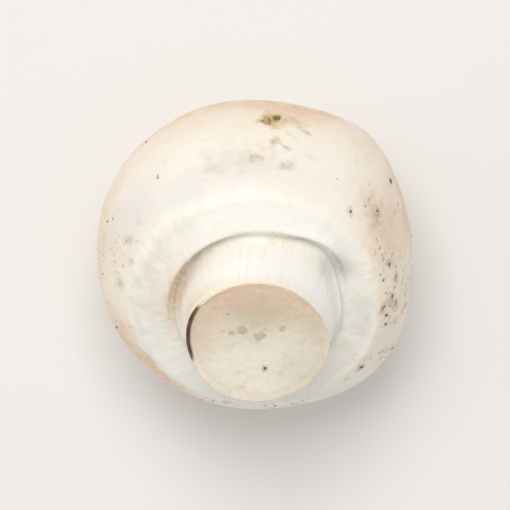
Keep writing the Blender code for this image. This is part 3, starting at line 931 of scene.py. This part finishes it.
# painted shade: the veil's grey sides, the cool band and partly the warm tan on the skin, the groove's tan,
# crease line and fold grey, the cut's darker ovals; painted light: the cut's bright patch and the cream rim
# highlight
tone = dict(
    veil=(254, 251, 243), veilShade=(247, 243, 233), veilSideShade=(233, 228, 219),
    skin=(253, 247, 236), skinCoolShade=(231, 228, 223), stain=(146, 122, 100),
    skinTanShade=(236, 211, 182), rosy=(251, 238, 230), silk=(234, 217, 198),
    mottle=(206, 178, 152), speck=(144, 114, 90), flake=(196, 168, 142),
    flakePale=(232, 210, 188),
    blush=(222, 176, 120), scar=(156, 128, 66), scarDeep=(102, 74, 24),
    halo=(202, 168, 106), yellow=(250, 234, 182), scratch=(255, 244, 206),
    grey=(186, 174, 146), score=(150, 132, 92), groove=(226, 198, 168),
    creaseShade=(180, 168, 142), hollow=(178, 175, 169), strand=(240, 228, 208),
    strandShade=(224, 206, 182),
    stem=(251, 248, 241), stemShade=(240, 233, 221), cutHigh=(235, 211, 183),
    cutMid=(238, 230, 210), cutLow=(246, 239, 223), pith=(206, 196, 172),
    pink=(230, 198, 176), cutShade=(186, 170, 148), cutLitPatch=(252, 247, 233),
    cortex=(222, 210, 186), greenish=(166, 160, 136),
    brown=(84, 54, 36), creamHighlight=(255, 234, 196), soil=(88, 64, 46),
    soilPale=(142, 112, 84))
tone = {name: paint(*shown) for name, shown in tone.items()}

flesh = {"Roughness": 0.62, "Subsurface Weight": 0.4, "Subsurface Radius": (1.0, 0.6, 0.38),
         "Subsurface Scale": 0.0012, "Sheen Weight": 0.08, "Sheen Roughness": 0.5}


# how far each mark draws the colour towards the tone of its name
capShare = dict(halo=0.9, yellow=0.6, grey=0.8, scratch=0.8, score=0.8, stain=0.75)
cutShare = dict(pink=0.55, cutShade=0.34, cutLitPatch=0.55, cortex=0.25, pith=0.15)
# painted shade in the groove and along its floor, with some tan dirt
grooveShadeShare = dict(groove=0.65, creaseShade=0.55)


def capMaterial():
    # cream skin with silky fibrils, flecks and blushes; white felted veil inside the skin's edge
    s = Surface("silkyCapSkin", flesh)
    grain, age, flecks = s.mark("grain", "Vector"), s.mark("age"), s.mark("flecks")
    slow = s.cloud(0.006, 3.0, 0.55, 0.3, 0.7, (0.55, 1.0))
    # warm tan: partly the skin's own tan, partly painted shade and warm reflected light
    s.colour = s.mix(s.times(s.mark("tanAndShade"), slow), tone["skin"], tone["skinTanShade"])
    # painted shade: a cool grey band across the upper skin
    s.tint(s.mark("coolShade"), 0.85, "skinCoolShade")
    s.tint(s.cloud(0.009, 2.0, 0.55, 0.48, 0.68), 0.5, "rosy")
    s.tint(s.times(s.span(s.noise(0.4, 5.0, 0.62, grain), 0.5, 0.72), age), 0.34, "silk")
    s.tint(s.times(s.cloud(0.0024, 5.0, 0.6, 0.56, 0.74), age), 0.24, "mottle")
    s.tint(s.times(s.cloud(0.0014, 6.0, 0.7, 0.47, 0.64), flecks), 0.42, "mottle")
    s.tint(s.times(s.cloud(0.0006, 3.0, 0.55, 0.62, 0.68), flecks), 0.5, "speck")
    s.dots(flecks, 0.0011, 0.30, "mottle", "speck")
    s.dots(s.times(age, 0.5), 0.0026, 0.12, "silk", "mottle")
    patchy = s.cloud(0.0026, 5.0, 0.6, 0.25, 0.75, (0.45, 1.0))
    # blushes: tan bruising, and painted contact shade and warm reflected light on the edges
    s.tint(s.times(s.mark("blush"), patchy), 0.75, "blush")
    skin, s.colour = s.colour, tone["veil"]
    s.tint(s.cloud(0.0007, 4.0, 0.6, 0.45, 0.7), 0.45, "veilShade")
    # painted shade: grey on the veil's sides
    s.tint(s.mark("sideShade"), s.cloud(0.002, 4.0, 0.55, 0.3, 0.7, (0.4, 1.0)), "veilSideShade")
    s.colour = s.mix(s.mark("skin"), s.colour, skin)
    soft = s.cloud(0.0012, 6.0, 0.7, 0.36, 0.62, (0.25, 1.0))
    for name, share in capShare.items():
        s.tint(s.times(s.mark(name), soft), share, name)
    dark = s.plus(s.noise(0.0007, 5.0, 0.65), s.times(s.mark("scar"), 0.3))
    deep = s.mix(s.span(dark, 0.62, 0.9), tone["scar"], tone["scarDeep"])
    s.colour = s.mix(s.torn("scar", 0.0007, 0.55), s.colour, deep)
    # painted shade: tan in the groove, an olive line along its floor and grey where it runs out into the
    # veil
    for name, share in {**grooveShadeShare, "hollow": 0.66}.items():
        s.tint(s.mark(name), share, name)
    return s.finished((0.5, 0.72), 0.003, 0.35, 3.0, 0.25)


def stemMaterial():
    # white fibrous side; beige cut flesh, pinker away from the lean, with painted shade and a painted light
    # patch; its rim brown in places and cream with a painted highlight along the top; painted shade in the
    # groove
    s = Surface("fibrousStemFlesh", flesh)
    s.colour = tone["stem"]
    s.tint(s.span(s.noise(0.6, 4.0, 0.6, s.mark("grain", "Vector")), 0.45, 0.72), 0.5, "stemShade")
    s.tint(s.mark("tan"), 0.4, "blush")
    side, s.colour = s.colour, tone["cutLow"]
    up = s.plus(s.mark("up"), s.times(s.noise(0.0035, 3.0), 0.3))
    s.tint(s.span(up, 0.48, 0.74), 1.0, "cutMid")
    s.tint(s.span(up, 0.68, 1.0), 1.0, "cutHigh")
    s.tint(s.cloud(0.0018, 5.0, 0.65, 0.5, 0.72), 0.4, "pith")
    s.tint(s.cloud(0.0007, 4.0, 0.6, 0.52, 0.7), 0.5, "cutLow")
    s.tint(s.cloud(0.00045, 3.0, 0.6, 0.6, 0.7), 0.35, "pith")
    # painted shade in darker ovals and on the lower rim, and a painted light patch, on the cut; pink,
    # cortex and pith are the flesh's own
    for name, share in cutShare.items():
        s.tint(s.mark(name), share, name)
    uneven = s.cloud(0.0004, 5.0, 0.65, 0.35, 0.65, (0.3, 0.72))
    s.tint(s.torn("grey", 0.0006, 0.72), uneven, "greenish")
    s.colour = s.mix(s.mark("face"), side, s.colour)
    # painted highlight: cream along the cut's upper rim
    s.tint(s.mark("creamHighlight"), 0.85, "creamHighlight")
    worn = s.cloud(0.0008, 4.0, 0.6, 0.2, 0.5, (0.7, 1.0))
    s.tint(s.span(s.mark("brown"), 0.2, 0.75), worn, "brown")
    # painted shade: tan in the groove, an olive line along its floor and grey where it runs out into the
    # veil
    for name, share in {**grooveShadeShare, "hollow": 0.6}.items():
        s.tint(s.mark(name), share, name)
    return s.finished((0.48, 0.7), 0.002, 0.3, 4.0, 0.3)


def plainMaterial(name, a, b, roughness, size):
    # two tones mingled by noise and by each body's own shade
    s = Surface(name, {**flesh, "Subsurface Weight": 0.05, "Roughness": roughness})
    share = s.plus(s.times(s.mark("shade"), 0.6), s.times(s.noise(size), 0.5))
    s.wear("Base Color", s.mix(s.span(share, 0.2, 0.85), tone[a], tone[b]))
    s.wear("Normal", s.bumps(s.noise(size / 3), 0.4, 0.00008))
    return s.material


capPiece.data.materials.append(capMaterial())
stemPiece.data.materials.append(stemMaterial())
flakePiece.data.materials.append(plainMaterial("driedFlake", "flakePale", "flake", 0.7, 0.0008))
# the strands are darker than the veil's white: painted shade of the groove they cross
threadPiece.data.materials.append(plainMaterial("veilThread", "strand", "strandShade", 0.75, 0.0006))
crumbPiece.data.materials.append(plainMaterial("peatCrumb", "soil", "soilPale", 0.9, 0.0003))
print("materials: made")

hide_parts("button_mushroom")
for piece, slotName in ((capPiece, "mushroom_skin"), (stemPiece, "stem_flesh"),
                        (flakePiece, "mushroom_skin"), (threadPiece, "stem_flesh"),
                        (crumbPiece, "casing_soil")):
    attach(piece, "root")


studio = dict(lens=300.0, fill=0.62, floor=paint(238, 237, 236), sky=0.55, skyTint=(1.0, 0.99, 0.975, 1.0))
lamps = dict(keyLight=((-0.05, 0.24, 0.68), 0.35, 2.5, (1.0, 0.985, 0.96)),  # place, size, watts, tint
             fillLight=((0.35, -0.25, 0.5), 0.5, 0.1, (0.97, 0.98, 1.0)),
             sideLight=((-0.55, 0.05, 0.22), 0.4, 0.35, (1.0, 0.95, 0.88)))


def makeFloor():
    # a wide flat sheet a hair below the rest spot
    reach, low = 3.0, -0.0001
    corners = np.array([(-reach, -reach, low), (reach, -reach, low),
                        (reach, reach, low), (-reach, reach, low)])
    floor = meshPiece("floor", corners, [(0, 1, 2, 3)], {})
    s = Surface("palePaper", {"Roughness": 0.9, "Base Color": studio["floor"]})
    floor.data.materials.append(s.material)
    floor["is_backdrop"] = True


def areaLight(name, place, size, watts, tint):
    # soft square lamp aimed at the middle of the mushroom
    lamp = bpy.data.lights.new(name, "AREA")
    lamp.size, lamp.energy, lamp.color = size, watts, tint
    item = bpy.data.objects.new(name, lamp)
    item.location = place
    item.rotation_euler = (Vector((0.0, 0.0, 0.02)) - Vector(place)).to_track_quat("-Z", "Y").to_euler()
    bpy.context.scene.collection.objects.link(item)


def makeCamera():
    # straight above, far off with a long lens; the picture's up is +Y
    data = bpy.data.cameras.new("camera")
    data.lens = studio["lens"]
    camera = bpy.data.objects.new("camera", data)
    low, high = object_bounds()
    centre = (low + high) / 2
    width = (high.x - low.x) / studio["fill"]
    distance = width * data.lens / data.sensor_width
    camera.location = (centre.x, centre.y, centre.z + distance)
    data.clip_start, data.clip_end = 0.01, 10.0
    bpy.context.scene.collection.objects.link(camera)
    bpy.context.scene.camera = camera


def makeWorld():
    # even light from all round
    world = bpy.data.worlds.new("softSky")
    world.use_nodes = True
    back = world.node_tree.nodes["Background"]
    back.inputs["Color"].default_value = studio["skyTint"]
    back.inputs["Strength"].default_value = studio["sky"]
    bpy.context.scene.world = world


makeFloor()
makeWorld()
for name, (place, size, watts, tint) in lamps.items():
    areaLight(name, place, size, watts, tint)
makeCamera()
bpy.context.scene.view_settings.view_transform = "Standard"
print("stage: floor, three lamps and the camera")
